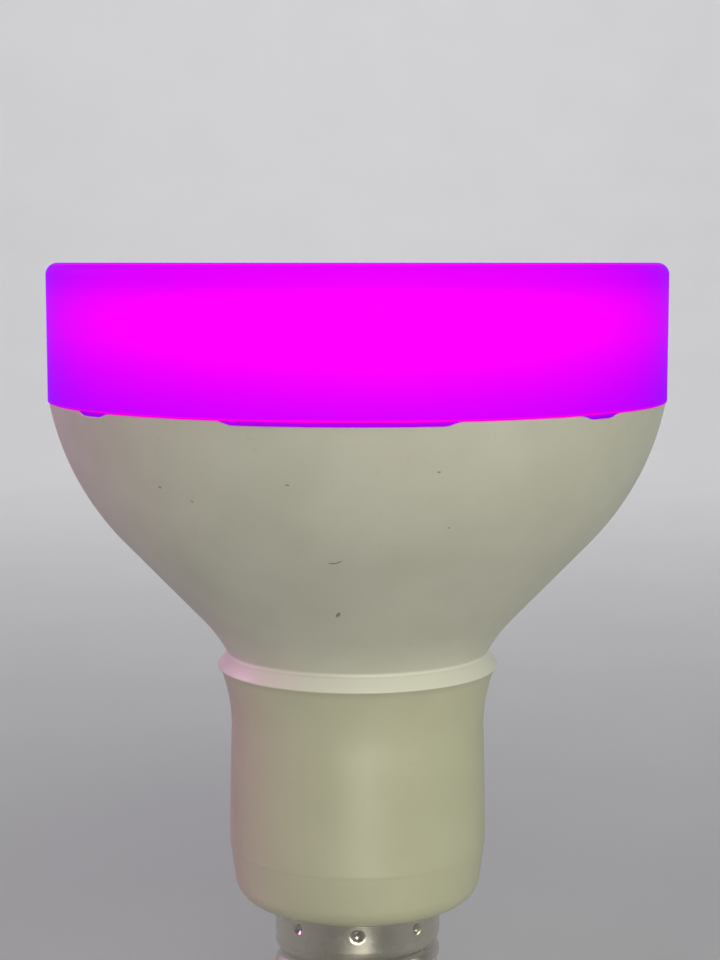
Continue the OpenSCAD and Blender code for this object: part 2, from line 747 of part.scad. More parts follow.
module screw_shell() {
    curl = [0, 25, 50, 75];
    rings = concat(
        [for (u = curl) curl_ring(u, 1)], [for (z = shell_heights) shell_ring(z, 1)],
        [for (z = reversed(shell_heights)) shell_ring(z, -1)], [for (u = reversed(curl)) curl_ring(u, -1)]);
    n = len(rings);
    color("silver") polyhedron([for (ring = rings, p = ring) p],
        [for (i = [0:n - 1], k = [0:around - 1])
            let (a = i * around, b = ((i + 1) % n) * around, m = (k + 1) % around)
            each [[a + k, b + k, b + m], [a + k, b + m, a + m]]], convexity = 8);
}

module cap_insulator() {
    color([0.08, 0.08, 0.08]) rotate_extrude() polygon([
        [1.55, 1.7], [5.2, 1.7], [curl_r - 0.1, shell_low_z - 0.1], [curl_r - 0.1, 6],
        [11.2, 6], [11.2, 7.4], [1.55, 7.4]]);
}

module centre_contact() {
    r = contact_d / 2;
    color("lightgray") rotate_extrude() polygon(concat(
        [[0, 0]], arc_points([r - 2.5, 2.2], 2.2, -90, -30, 5), [[r, 1.25], [r, 1.68], [1.5, 1.68],
            [1.5, 8.4], [0.8, 8.4], [0.8, 2.6], [0, 2.6]]));
}

diffuser_lens();
lens_adhesive();
upper_housing();
neck_collar();
aluminium_lining();
led_plate();
thermal_pad();
led_board();
reflector_ring();
warm_white_leds();
cool_white_leds();
red_leds();
green_leds();
blue_leds();
board_screws();
wireless_board();
wireless_shield_can();
antenna_trace();
board_socket();
header_strip();
header_pins();
driver_board();
transformer_core();
transformer_bobbin();
transformer_winding();
choke_core();
choke_winding();
bulk_capacitor();
output_capacitor();
capacitor_sleeves();
film_capacitor();
varistor();
fuse_resistor();
bridge_rectifier();
driver_chip();
colour_driver_chip();
diodes();
chip_legs();
chip_resistors();
chip_capacitors();
component_leads();
solder_joints();
live_wire();
neutral_wire();
screw_shell();
cap_insulator();
centre_contact();
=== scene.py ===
import json
import math

import bmesh
import bpy
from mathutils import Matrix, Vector


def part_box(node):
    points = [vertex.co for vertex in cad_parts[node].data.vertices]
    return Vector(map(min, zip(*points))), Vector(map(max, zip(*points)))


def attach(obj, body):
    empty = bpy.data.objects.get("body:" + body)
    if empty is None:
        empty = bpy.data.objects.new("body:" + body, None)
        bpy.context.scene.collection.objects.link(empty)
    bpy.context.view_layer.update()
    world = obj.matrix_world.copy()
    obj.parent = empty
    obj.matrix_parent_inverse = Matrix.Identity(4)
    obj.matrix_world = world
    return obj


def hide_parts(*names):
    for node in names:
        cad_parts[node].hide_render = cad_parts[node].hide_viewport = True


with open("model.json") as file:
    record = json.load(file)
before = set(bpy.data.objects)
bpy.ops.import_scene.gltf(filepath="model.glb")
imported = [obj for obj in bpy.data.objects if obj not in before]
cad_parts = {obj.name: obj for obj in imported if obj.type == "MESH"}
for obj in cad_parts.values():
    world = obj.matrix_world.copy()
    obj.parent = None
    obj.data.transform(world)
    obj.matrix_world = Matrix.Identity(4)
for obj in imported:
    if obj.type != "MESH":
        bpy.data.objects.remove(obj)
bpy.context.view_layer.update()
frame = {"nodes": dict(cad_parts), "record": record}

mm = 0.001
fullTurn = 2 * math.pi

# Heights and radii that several pieces share, in millimetres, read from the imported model
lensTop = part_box("diffuser_lens")[1].z / mm
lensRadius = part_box("diffuser_lens")[1].x / mm
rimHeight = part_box("upper_housing")[1].z / mm
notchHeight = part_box("neck_collar")[1].z / mm
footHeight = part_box("screw_shell")[1].z / mm + 0.05
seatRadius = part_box("lens_adhesive")[1].x / mm

# The lens drops into shallow reliefs in the bowl's rim: depth in millimetres, angles in degrees from
# the front
rimReliefs = {
    "depth": 0.6,
    "turn": -3.2,
    "groups": 2,
    "longWidth": 38,
    "shortWidth": 7.5,
    "shortStep": 49.2,
    "ease": 3,          # each end rises over this angle
}


# Camera and lights

cameraView = {
    "distance": 300,        # from the bulb's axis
    "height": lensTop,      # level with the lens's flat front
    "pitchDown": 6.41,
    "sideStep": 0.39,
    "focalLength": 72.56,
    "sensorWidth": 36,
    "nearest": 5,           # nothing closer than this is drawn
}


def placeCamera():
    lens = bpy.data.cameras.new("studioCamera")
    lens.sensor_width = cameraView["sensorWidth"]
    lens.lens = cameraView["focalLength"]
    lens.clip_start = cameraView["nearest"] * mm
    camera = bpy.data.objects.new("studioCamera", lens)
    camera.location = Vector((cameraView["sideStep"], -cameraView["distance"],
                              cameraView["height"])) * mm
    camera.rotation_euler = (math.radians(90 - cameraView["pitchDown"]), 0, 0)
    bpy.context.scene.collection.objects.link(camera)
    bpy.context.scene.camera = camera


# Where each light stands and its width in metres, its power in watts and its colour. The low lights
# stand close to the studio card and would leave hot spots on it, so they skip it.
studioLights = {
    "keySoftbox": {"at": (0.15, -1.2, 0.12), "size": 0.7, "power": 7.7,
                   "colour": (1.0, 0.98, 0.86), "skipsCard": True},
    "highSoftbox": {"at": (0.2, -0.98, 0.85), "size": 0.6, "power": 1.3,
                    "colour": (1.0, 1.0, 0.88)},
    "rightSoftbox": {"at": (1.05, -0.35, 0.35), "size": 0.6, "power": 2.4,
                     "colour": (0.9, 1.0, 0.75), "skipsCard": True},
    "leftBackSoftbox": {"at": (-1.1, 0.45, 0.45), "size": 0.6, "power": 5.8,
                        "colour": (1.0, 0.37, 0.83), "skipsCard": True},
    "backdropLight": {"at": (0.0, 0.75, 1.25), "size": 0.8, "power": 9,
                      "colour": (1.0, 1.0, 1.0), "aim": (0.0, 1.5, 0.15)},
}
bulbMiddle = (0, 0, 75 * mm)    # the lights without an aim of their own point here


def placeLights():
    for name, values in studioLights.items():
        lamp = bpy.data.lights.new(name, "AREA")
        lamp.shape = "DISK"
        lamp.size = values["size"]
        lamp.energy = values["power"]
        lamp.color = values["colour"]
        light = bpy.data.objects.new(name, lamp)
        light.location = values["at"]
        aim = Vector(values.get("aim", bulbMiddle))
        light.rotation_euler = (aim - light.location).to_track_quat("-Z", "Y").to_euler()
        light.visible_camera = False
        bpy.context.scene.collection.objects.link(light)
    # Plain sRGB keeps the lens's magenta as pure as the eye sees it
    bpy.context.scene.view_settings.view_transform = "Standard"


# Helpers that build meshes

def arcPoints(centre, radius, start, end, steps):
    # Points (radius, height) on an arc, angles in degrees from the outward direction
    points = []
    for i in range(steps + 1):
        angle = math.radians(start + (end - start) * i / steps)
        points.append((centre[0] + radius * math.cos(angle), centre[1] + radius * math.sin(angle)))
    return points


def spinOutline(points, steps, closed=True):
    bm = bmesh.new()
    verts = [bm.verts.new((r * mm, 0, z * mm)) for r, z in points]
    edges = [bm.edges.new(pair) for pair in zip(verts, verts[1:])]
    if closed:
        edges.append(bm.edges.new((verts[-1], verts[0])))
    bmesh.ops.spin(bm, geom=verts + edges, axis=(0, 0, 1), cent=(0, 0, 0), angle=fullTurn,
                   steps=steps, use_merge=True)
    bmesh.ops.remove_doubles(bm, verts=bm.verts, dist=0.002 * mm)
    bmesh.ops.recalc_face_normals(bm, faces=bm.faces)
    return bm


def ringRadius(co):
    return math.hypot(co.x, co.y) / mm


def roundRings(bm, rings, width, segments):
    # Bevels the edge rings that lie at the given (radius, height) places
    chosen = []
    for edge in bm.edges:
        for radius, height in rings:
            if all(abs(ringRadius(v.co) - radius) < 0.02 and abs(v.co.z / mm - height) < 0.02
                   for v in edge.verts):
                chosen.append(edge)
    bmesh.ops.bevel(bm, geom=chosen, offset=width * mm, segments=segments, profile=0.5,
                    affect="EDGES", material=-1)


def easeIn(value):
    value = min(max(value, 0), 1)
    return value * value * (3 - 2 * value)


def reliefDepth(co):
    # How deep the rim's reliefs are at the point's angle round the axis, in millimetres
    angle = math.degrees(math.atan2(co.x, -co.y)) - rimReliefs["turn"]
    group = 360 / rimReliefs["groups"]
    share = 0
    for side in (-1, 0, 1):
        width = rimReliefs["shortWidth"] if side else rimReliefs["longWidth"]
        away = abs((angle - side * rimReliefs["shortStep"] + group / 2) % group - group / 2)
        share = max(share, easeIn((width / 2 - away) / rimReliefs["ease"] + 0.5))
    return rimReliefs["depth"] * share


sharpAngle = 38     # edges that turn more than this stay crisp


def finishPiece(bm, name, node, material):
    for face in bm.faces:
        face.smooth = True
    for edge in bm.edges:
        edge.smooth = not (edge.is_manifold and edge.calc_face_angle(0) > math.radians(sharpAngle))
    bmesh.ops.recalc_face_normals(bm, faces=bm.faces)
    mesh = bpy.data.meshes.new(name)
    bm.to_mesh(mesh)
    bm.free()
    mesh.materials.append(material)
    piece = bpy.data.objects.new(name, mesh)
    bpy.context.scene.collection.objects.link(piece)
    weighted = piece.modifiers.new("evenShading", "WEIGHTED_NORMAL")
    weighted.keep_sharp = True
    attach(piece, "root")
    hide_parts(node)


# Helpers that build materials

def linear(hexColour):
    # sRGB hex to the linear values that shaders read
    channels = [int(hexColour[i:i + 2], 16) / 255 for i in (1, 3, 5)]
    return tuple(c / 12.92 if c <= 0.04045 else ((c + 0.055) / 1.055) ** 2.4 for c in channels) + (1,)


def cells(size):
    # Noise scale that makes one grain this many millimetres wide
    return 1 / (size * mm)


def waves(pitch):
    # Wave scale that repeats every pitch millimetres
    return math.pi / (10 * pitch * mm)


def addNode(tree, kind, sockets=None, **settings):
    # Adds a node and fills its sockets with numbers, colours, other nodes or their outputs
    node = tree.nodes.new("ShaderNode" + kind)
    for key, value in settings.items():
        setattr(node, key, value)
    for key, value in (sockets or {}).items():
        if isinstance(value, bpy.types.Node):
            value = value.outputs[0]
        if isinstance(value, bpy.types.NodeSocket):
            tree.links.new(value, node.inputs[key])
        else:
            node.inputs[key].default_value = value
    return node


def startMaterial(name, sockets):
    # A material with its shader, and the piece's own coordinates in metres
    material = bpy.data.materials.new(name)
    material.use_nodes = True
    tree = material.node_tree
    tree.nodes.clear()
    shader = addNode(tree, "BsdfPrincipled", sockets)
    addNode(tree, "OutputMaterial", {"Surface": shader})
    return material, tree, shader, addNode(tree, "TexCoord").outputs["Object"]


def noise(tree, place, size, detail=2):
    # Grains this many millimetres wide
    return addNode(tree, "TexNoise", {"Vector": place, "Scale": cells(size), "Detail": detail})


def spread(tree, value, start, end, low=0, high=1, **settings):
    # Goes from low to high as the value goes from start to end
    return addNode(tree, "MapRange", {"Value": value, "From Min": start, "From Max": end,
                                      "To Min": low, "To Max": high}, **settings)


def blend(tree, share, first, second):
    # Goes from the first colour to the second as the share goes from 0 to 1
    return addNode(tree, "Mix", {0: share, 6: first, 7: second}, data_type="RGBA").outputs[2]


def heightOf(tree, vector):
    return addNode(tree, "SeparateXYZ", {0: vector}).outputs["Z"]


def radiusOf(tree, place):
    flat = addNode(tree, "VectorMath", {0: place, 1: (1, 1, 0)}, operation="MULTIPLY")
    return addNode(tree, "VectorMath", {0: flat}, operation="LENGTH").outputs["Value"]


def wire(tree, shader, colour, rough, bump):
    tree.links.new(colour, shader.inputs["Base Color"])
    tree.links.new(rough.outputs[0], shader.inputs["Roughness"])
    tree.links.new(bump.outputs[0], shader.inputs["Normal"])


def markOn(tree, place, mark):
    # 1 on a small scratch or fleck and 0 around it
    facing = math.atan2(mark["at"][0], -mark["at"][1])
    local = addNode(tree, "Mapping", {
        "Vector": place, "Location": Vector(mark["at"]) * mm,
        "Rotation": (0, math.radians(mark["tilt"]), facing),
        "Scale": Vector((mark["size"][0], markDepth, mark["size"][1])) * mm}, vector_type="TEXTURE")
    away = addNode(tree, "VectorMath", {0: local}, operation="LENGTH").outputs["Value"]
    return spread(tree, away, 0.3, 1, 1, 0, interpolation_type="SMOOTHSTEP")


markDepth = 3       # how far a mark reaches into and out of the surface, in millimetres

# Scratches and flecks on the bowl: place on it, half width and half height, tilt in degrees
bowlMarks = [
    {"at": (-3.35, -37.5, 85.95), "size": (0.86, 0.16), "tilt": -2},
    {"at": (-2.5, -37.6, 86.17), "size": (0.74, 0.14), "tilt": -24},
    {"at": (-2.7, -29.1, 77.3), "size": (0.38, 0.74), "tilt": 35},
    {"at": (-9.3, -43.8, 97.5), "size": (0.42, 0.18), "tilt": 8},
    {"at": (10.9, -44.1, 99.3), "size": (0.38, 0.15), "tilt": 0},
    {"at": (-27.2, -34.8, 96.2), "size": (0.38, 0.24), "tilt": 10},
    {"at": (-22.6, -37.0, 94.5), "size": (0.30, 0.20), "tilt": 30},
    {"at": (12.6, -40.0, 91.2), "size": (0.26, 0.18), "tilt": 20},
]


# What the plastic of bowl and collar has in common, sizes in millimetres
plasticLook = {
    "cloudSize": 14,
    "speckSize": 0.9,
    "speckTone": "#8F8C7F",
    "grainSize": 0.35,      # the tool's grain is about 0.05, too fine to show
    "grainShare": 0.35,     # of the relief that the marks have
    "reliefDepth": 0.012,
    "polishSize": 2.5,
    "roughness": (0.38, 0.46),
    # painted light: the paler tone painted on the up-facing lip, for the light it catches from above
    "litLipTone": "#DEDDD1",
    "markTone": "#5E5B50",
    "markStrength": 0.72,
}


def satinPbt(name, tones, marks, litLip):
    # PBT polyester, injection moulded against a fine spark-eroded tool: a dry satin with a soft, wide
    # highlight, a faint cloud, the tool's fine grain and a paler band of painted light on the up-facing
    # lip
    values = plasticLook
    material, tree, shader, place = startMaterial(name, {
        "IOR": 1.5, "Subsurface Weight": 0.06, "Subsurface Radius": (1.0, 0.9, 0.7),
        "Subsurface Scale": 1.2 * mm})
    clouded = spread(tree, noise(tree, place, values["cloudSize"]), 0.3, 0.7)
    body = blend(tree, clouded, linear(tones[0]), linear(tones[1]))
    specks = spread(tree, noise(tree, place, values["speckSize"]), 0.62, 0.78, 0, 0.1)
    body = blend(tree, specks, body, linear(values["speckTone"]))
    # Painted light: the lip between bowl and collar faces up to the light, so it is painted paler there
    start, end = ((notchHeight + edge) * mm for edge in litLip)
    litLipShare = spread(tree, heightOf(tree, place), start, end, interpolation_type="SMOOTHSTEP")
    body = blend(tree, litLipShare, body, linear(values["litLipTone"]))
    grain = noise(tree, place, values["grainSize"])
    relief = addNode(tree, "Math", {0: grain, 1: values["grainShare"]}, operation="MULTIPLY")
    for mark in marks:
        spot = markOn(tree, place, mark)
        faded = addNode(tree, "Math", {0: spot, 1: values["markStrength"]}, operation="MULTIPLY")
        body = blend(tree, faded, body, linear(values["markTone"]))
        relief = addNode(tree, "Math", {0: relief, 1: spot}, operation="SUBTRACT")
    rough = spread(tree, noise(tree, place, values["polishSize"], 3), 0.3, 0.7, *values["roughness"])
    bump = addNode(tree, "Bump", {"Height": relief, "Distance": values["reliefDepth"] * mm})
    wire(tree, shader, body, rough, bump)
    return material


# Height on the lens from the bowl's rim, and how much red and blue light leaves it there
glowSteps = [
    (-0.65, 0.28, 0.60),
    (-0.06, 0.36, 0.74),
    (0.02, 1.05, 0.50),
    (0.20, 1.05, 0.50),
    (0.38, 0.60, 1.05),
    (1.8, 0.65, 1.05),
    (3.8, 0.73, 1.05),
    (6.3, 0.85, 1.05),
    (10.4, 1.08, 1.05),
    (13.2, 1.13, 1.05),
    (16.0, 1.02, 1.05),
    (18.4, 0.76, 1.05),
    (19.6, 0.75, 1.05),
    (20.5, 0.80, 1.00),
    (20.7, 1.60, 0.80),
    (20.85, 1.40, 0.90),
]
# The lens's skin and its flat front, sizes in millimetres
glowLook = {
    "skinTone": "#7A0E86",
    "tint": 0.70,           # share of the red light that passes the skin straight on
    "ledCircle": 20,        # radius of the circle that the colour LEDs stand on
    "ledPatches": 6,
    "patchReach": 14,
    "betweenLeds": (0.84, 1.05),    # red and blue light
    "overRedLeds": (1.12, 0.93),
    "nearTheEdge": (0.72, 1.0),
    "edgeFrom": 26,
    "edgeTo": 47,
    "grainSize": 0.3,
    "grainDepth": 0.004,
}


def litPolycarbonate():
    # Frosted polycarbonate, moulded and lit from behind: an even magenta glow, hottest at mid height
    # and violet near its edges, with a soft sheen. Its moulded skin takes up more red the longer the
    # light's path through it, so the drum turns violet where it is seen at a slant.
    values = glowLook
    material, tree, shader, place = startMaterial("litFrostedPolycarbonate", {
        "Base Color": linear(values["skinTone"]), "Roughness": 0.5, "IOR": 1.58,
        "Specular IOR Level": 0.06, "Coat Weight": 1.0, "Coat IOR": 1.05, "Coat Roughness": 0.6,
        "Coat Tint": (values["tint"], 0.0, 1.0, 1.0)})
    strongest = max(red / values["tint"] for _, red, _ in glowSteps)
    shader.inputs["Emission Strength"].default_value = strongest

    def glow(red, blue):
        return (red / values["tint"] / strongest, 0, blue / strongest, 1)

    low, high = glowSteps[0][0], glowSteps[-1][0]
    along = spread(tree, heightOf(tree, place), (rimHeight + low) * mm, (rimHeight + high) * mm)
    ramp = addNode(tree, "ValToRGB", {0: along})
    elements = ramp.color_ramp.elements
    for index, (step, red, blue) in enumerate(glowSteps):
        position = (step - low) / (high - low)
        element = elements[index] if index < 2 else elements.new(position)
        element.position = position
        element.color = glow(red, blue)
    # The flat front: red and blue LEDs alternate on one circle behind it and show as faint patches
    radius = radiusOf(tree, place)
    turn = addNode(tree, "TexGradient", {"Vector": place}, gradient_type="RADIAL")
    turns = addNode(tree, "Math", {0: turn.outputs["Fac"], 1: values["ledPatches"] * fullTurn},
                    operation="MULTIPLY")
    patches = addNode(tree, "Math", {0: turns}, operation="SINE")
    off = addNode(tree, "Math", {0: radius, 1: values["ledCircle"] * mm}, operation="SUBTRACT")
    near = addNode(tree, "Math", {0: off}, operation="ABSOLUTE")
    near = spread(tree, near, 0, values["patchReach"] * mm, 0.5, 0, interpolation_type="SMOOTHSTEP")
    patches = addNode(tree, "Math", {0: patches, 1: near}, operation="MULTIPLY")
    patches = addNode(tree, "Math", {0: patches, 1: 0.5}, operation="ADD")
    edge = spread(tree, radius, values["edgeFrom"] * mm, values["edgeTo"] * mm,
                  interpolation_type="SMOOTHSTEP")
    front = blend(tree, patches, glow(*values["betweenLeds"]), glow(*values["overRedLeds"]))
    front = blend(tree, edge, front, glow(*values["nearTheEdge"]))
    facing = heightOf(tree, addNode(tree, "NewGeometry").outputs["Normal"])
    body = blend(tree, spread(tree, facing, 0.9, 0.999), ramp, front)
    tree.links.new(body, shader.inputs["Emission Color"])
    grain = noise(tree, place, values["grainSize"])
    bump = addNode(tree, "Bump", {"Height": grain, "Distance": values["grainDepth"] * mm})
    tree.links.new(bump.outputs[0], shader.inputs["Normal"])
    return material


# The screw shell's metal, sizes in millimetres
nickelLook = {
    "tones": ("#ABA79C", "#D2CFC5"),
    "lineLength": 2.4,
    "lineThinning": 14,     # how much shorter the lines are along the axis
    "lineDepth": 0.004,
    "crestTone": "#E4DFD0",
    "crestFrom": 12.7,      # radius
    "crestTo": 13.1,
    "crestShare": 0.55,
    "smudgeSize": 5,
    "roughness": (0.2, 0.36),
}


def rolledNickelBrass():
    # Brass sheet, nickel plated, then thread rolled: a warm grey satin with fine lines round the axis,
    # brighter on the crests, where the rolls press it and the holder rubs it.
    values = nickelLook
    material, tree, shader, place = startMaterial("rolledNickelBrass", {"Metallic": 1.0})
    drawn = addNode(tree, "Mapping", {"Vector": place, "Scale": (1, 1, values["lineThinning"])})
    lines = noise(tree, drawn, values["lineLength"], 3)
    body = blend(tree, lines, *(linear(tone) for tone in values["tones"]))
    crest = spread(tree, radiusOf(tree, place), values["crestFrom"] * mm, values["crestTo"] * mm,
                   0, values["crestShare"])
    body = blend(tree, crest, body, linear(values["crestTone"]))
    rough = spread(tree, noise(tree, place, values["smudgeSize"], 4), 0.3, 0.7, *values["roughness"])
    bump = addNode(tree, "Bump", {"Height": lines, "Distance": values["lineDepth"] * mm})
    wire(tree, shader, body, rough, bump)
    return material


# Finishes by slot, for the nodes inside and the cap's end. Each has two tones, a pattern with its
# size in millimetres, a roughness range and the pattern's relief. "stretch" lengthens the grain along
# x, y and z, and "bands" paints heights of the row frame.
finishes = {
    # Silicone, cured from a bead: cloudy, with a wet sheen
    "silicone": {"name": "curedSilicone", "tones": ("#E6E4DC", "#F4F3EE"), "size": 1.5,
                 "roughness": (0.22, 0.36), "relief": 0.03, "sockets": {"IOR": 1.41}},
    # Aluminium, spun over a former: bright rings round the axis
    "spun_aluminium": {"name": "spunAluminium", "tones": ("#B9BBBD", "#E2E3E5"), "pattern": "rings",
                       "size": 0.35, "roughness": (0.22, 0.4), "relief": 0.01,
                       "sockets": {"Metallic": 1.0}},
    # Filled silicone sheet, calendered: matt grey with a fine mineral grain
    "thermal_silicone": {"name": "thermalSilicone", "tones": ("#9FA2A6", "#B4B7BA"), "size": 0.4,
                         "roughness": (0.7, 0.85), "relief": 0.01, "sockets": {"IOR": 1.41}},
    # White solder mask over an aluminium-backed board: chalky gloss, a little orange peel
    "white_solder_mask": {"name": "whiteSolderMask", "tones": ("#EDEEEC", "#F8F8F6"), "size": 0.8,
                          "roughness": (0.25, 0.38), "relief": 0.004, "sockets": {"IOR": 1.52}},
    # High-gloss white polycarbonate, moulded: clean and bright to throw light forwards
    "white_reflector": {"name": "glossReflectorPolycarbonate", "tones": ("#F1F1EF", "#FAFAF8"), "size": 6,
                        "roughness": (0.12, 0.2), "relief": 0.002, "sockets": {"IOR": 1.58}},
    # White packages with a shallow window of resin, coloured by its phosphor or its chip
    "warm_phosphor": {"name": "warmPhosphorResin", "tones": ("#EDEBE2", "#F6F4EC"), "window": "#E8A93A"},
    "cool_phosphor": {"name": "coolPhosphorResin", "tones": ("#EDEBE2", "#F6F4EC"), "window": "#EAD66A"},
    "red_led": {"name": "clearResinOverRed", "tones": ("#EDEBE2", "#F6F4EC"), "window": "#D8574A"},
    "green_led": {"name": "clearResinOverGreen", "tones": ("#EDEBE2", "#F6F4EC"), "window": "#7FC48A"},
    "blue_led": {"name": "clearResinOverBlue", "tones": ("#EDEBE2", "#F6F4EC"), "window": "#5C7FD8"},
    # Steel, zinc plated and passivated: bluish silver with faint cloudy crystals
    "zinc_steel": {"name": "zincPlatedSteel", "tones": ("#B3B8BE", "#D3D7DB"), "size": 0.5,
                   "roughness": (0.25, 0.42), "relief": 0.004, "sockets": {"Metallic": 1.0}},
    # Glass-epoxy board under green mask: the cloth's 0.4 mm weave shows faintly through it
    "green_board": {"name": "greenMaskedGlassEpoxy", "tones": ("#14522B", "#1F6A3A"), "pattern": "weave",
                    "size": 0.8, "roughness": (0.28, 0.4), "relief": 0.006, "sockets": {"IOR": 1.55}},
    # Nickel-silver sheet, tinned and pressed: soft silver with random fine scratches
    "tinned_sheet": {"name": "tinnedNickelSilver", "tones": ("#BDBDB9", "#DCDCD8"), "size": 0.5,
                     "stretch": (4, 1, 0.5), "roughness": (0.22, 0.38), "relief": 0.003,
                     "sockets": {"Metallic": 1.0}},
    # Copper foil, etched and gilded: warm yellow with a grainy edge
    "copper_trace": {"name": "gildedCopperTrace", "tones": ("#C9974A", "#E2B765"), "size": 0.25,
                     "roughness": (0.25, 0.4), "relief": 0.004, "sockets": {"Metallic": 1.0}},
    # Nylon, moulded in natural white: milky, a soft gloss
    "white_nylon": {"name": "naturalNylon", "tones": ("#E9E6DA", "#F3F1E8"), "size": 1.2,
                    "roughness": (0.35, 0.5), "relief": 0.006,
                    "sockets": {"IOR": 1.53, "Subsurface Weight": 0.1, "Subsurface Scale": 1 * mm}},
    # Glass-filled nylon, moulded in black: dark satin with pale fibre flecks
    "black_nylon": {"name": "glassFilledNylon", "tones": ("#141414", "#2A2A29"), "size": 0.35,
                    "stretch": (1, 1, 3), "roughness": (0.4, 0.6), "relief": 0.008,
                    "sockets": {"IOR": 1.53}},
    # Brass pins, gold flashed: a deep warm shine with drawn lines along them
    "gold_pin": {"name": "goldFlashedBrass", "tones": ("#C79A45", "#E9C572"), "size": 0.15,
                 "stretch": (1, 1, 12), "roughness": (0.15, 0.28), "relief": 0.002,
                 "sockets": {"Metallic": 1.0}},
    # Ferrite, pressed and sintered: charcoal ceramic with a gritty, slightly glassy face
    "ferrite": {"name": "sinteredFerrite", "tones": ("#2B2B2D", "#444447"), "size": 0.25,
                "roughness": (0.45, 0.65), "relief": 0.012, "sockets": {"IOR": 2.2}},
    # Polyester tape wound over the coil: glossy yellow with the layers' edges every 0.5 mm
    "yellow_tape": {"name": "woundPolyesterTape", "tones": ("#D9A91C", "#EBC545"), "pattern": "turns",
                    "along": "X", "size": 0.5, "roughness": (0.18, 0.3), "relief": 0.01,
                    "sockets": {"IOR": 1.64}},
    # Enamelled copper wire, 0.35 mm, wound tight: dark orange turns under clear varnish
    "enamelled_copper": {"name": "enamelledCopperTurns", "tones": ("#6E2F14", "#C8713A"),
                         "pattern": "turns", "along": "Y", "size": 0.35, "roughness": (0.2, 0.3),
                         "relief": 0.08,
                         "sockets": {"Metallic": 0.85, "Coat Weight": 0.6, "Coat Roughness": 0.1}},
    # Aluminium can, deep drawn: pale metal with fine vertical draw lines
    "capacitor_can": {"name": "drawnAluminiumCan", "tones": ("#C5C7C9", "#E0E1E3"), "size": 0.3,
                      "stretch": (1, 1, 15), "roughness": (0.2, 0.34), "relief": 0.003,
                      "sockets": {"Metallic": 1.0}},
    # PVC sleeve, heat shrunk: dark blue with a tight soft gloss
    "capacitor_sleeve": {"name": "shrunkPvcSleeve", "tones": ("#141C3C", "#202B55"), "size": 1.5,
                         "roughness": (0.28, 0.4), "relief": 0.006, "sockets": {"IOR": 1.54}},
    # Epoxy-dipped film capacitor: thick, slightly wavy mustard coat
    "dipped_film": {"name": "mustardDippedEpoxy", "tones": ("#B27A1E", "#CB9333"), "size": 2.2,
                    "roughness": (0.22, 0.34), "relief": 0.05, "sockets": {"IOR": 1.55}},
    # Epoxy-dipped varistor: blue coat with the dip's uneven gloss
    "blue_epoxy": {"name": "blueDippedEpoxy", "tones": ("#1D4A94", "#2E62B4"), "size": 1.2,
                   "roughness": (0.2, 0.34), "relief": 0.04, "sockets": {"IOR": 1.55}},
    # Flameproof lacquer on a fusible resistor: matt green-grey with colour rings
    "resistor_coat": {"name": "flameproofLacquer", "tones": ("#7F9A86", "#90AA96"), "size": 0.4,
                      "roughness": (0.5, 0.65), "relief": 0.006, "sockets": {"IOR": 1.5},
                      "bands": [(39.6, 40.2, "#7A3B12"), (41.0, 41.6, "#161616"), (42.4, 43.0, "#161616"),
                                (44.6, 45.2, "#C9A23B")]},
    # Epoxy moulding compound: charcoal, matt, with a faint mould texture
    "moulded_epoxy": {"name": "mouldedEpoxyPackage", "tones": ("#1B1B1C", "#2C2C2D"), "size": 0.2,
                      "roughness": (0.55, 0.7), "relief": 0.006, "sockets": {"IOR": 1.55}},
    # Barium-titanate ceramic, fired: tan and eggshell smooth
    "chip_ceramic": {"name": "firedChipCeramic", "tones": ("#8F6F4E", "#A98764"), "size": 0.4,
                     "roughness": (0.35, 0.5), "relief": 0.003, "sockets": {"IOR": 1.7}},
    # Tin-silver solder, reflowed: bright with a fine frosty crystal
    "solder": {"name": "reflowedSolder", "tones": ("#B9B9B6", "#DEDEDA"), "size": 0.3,
               "roughness": (0.18, 0.36), "relief": 0.008, "sockets": {"Metallic": 1.0}},
    # PVC-insulated hook-up wire, extruded: smooth, faintly streaked along its length
    "red_insulation": {"name": "redExtrudedPvc", "tones": ("#A11F1C", "#BC302B"), "size": 0.4,
                       "stretch": (1, 1, 8), "roughness": (0.32, 0.42), "relief": 0.003,
                       "sockets": {"IOR": 1.54}},
    "white_insulation": {"name": "whiteExtrudedPvc", "tones": ("#DEDCD5", "#EFEEE9"), "size": 0.4,
                         "stretch": (1, 1, 8), "roughness": (0.32, 0.42), "relief": 0.003,
                         "sockets": {"IOR": 1.54}},
    # Phenolic resin, pressed: deep black with a soft sheen and faint flow clouds
    "black_insulator": {"name": "pressedBlackPhenolic", "tones": ("#0E0E0E", "#24221E"), "size": 1.8,
                        "roughness": (0.24, 0.4), "relief": 0.012, "sockets": {"IOR": 1.6}},
    # Brass, nickel plated and stamped: dull grey, scratched across by the holder's tongue
    "contact_metal": {"name": "stampedNickelContact", "tones": ("#9A9489", "#D0CABB"), "size": 0.8,
                      "stretch": (5, 0.4, 1), "roughness": (0.22, 0.42), "relief": 0.008,
                      "sockets": {"Metallic": 1.0}},
}


def patternFor(tree, place, values):
    # The pattern as a number from 0 to 1
    kind, size = values.get("pattern", "grain"), values.get("size", 0.5)
    if kind == "rings":
        return addNode(tree, "TexNoise", {"W": radiusOf(tree, place), "Scale": cells(size), "Detail": 2},
                       noise_dimensions="1D")
    if kind == "turns":
        return addNode(tree, "TexWave", {"Vector": place, "Scale": waves(size)},
                       bands_direction=values["along"])
    if kind == "weave":
        warp = addNode(tree, "TexWave", {"Vector": place, "Scale": waves(size)}, bands_direction="X")
        weft = addNode(tree, "TexWave", {"Vector": place, "Scale": waves(size)}, bands_direction="Z")
        return addNode(tree, "Math", {0: warp, 1: weft}, operation="MULTIPLY")
    grain = addNode(tree, "Mapping", {"Vector": place,
                                      "Scale": [1 / s for s in values.get("stretch", (1, 1, 1))]})
    return noise(tree, grain, size, 3)


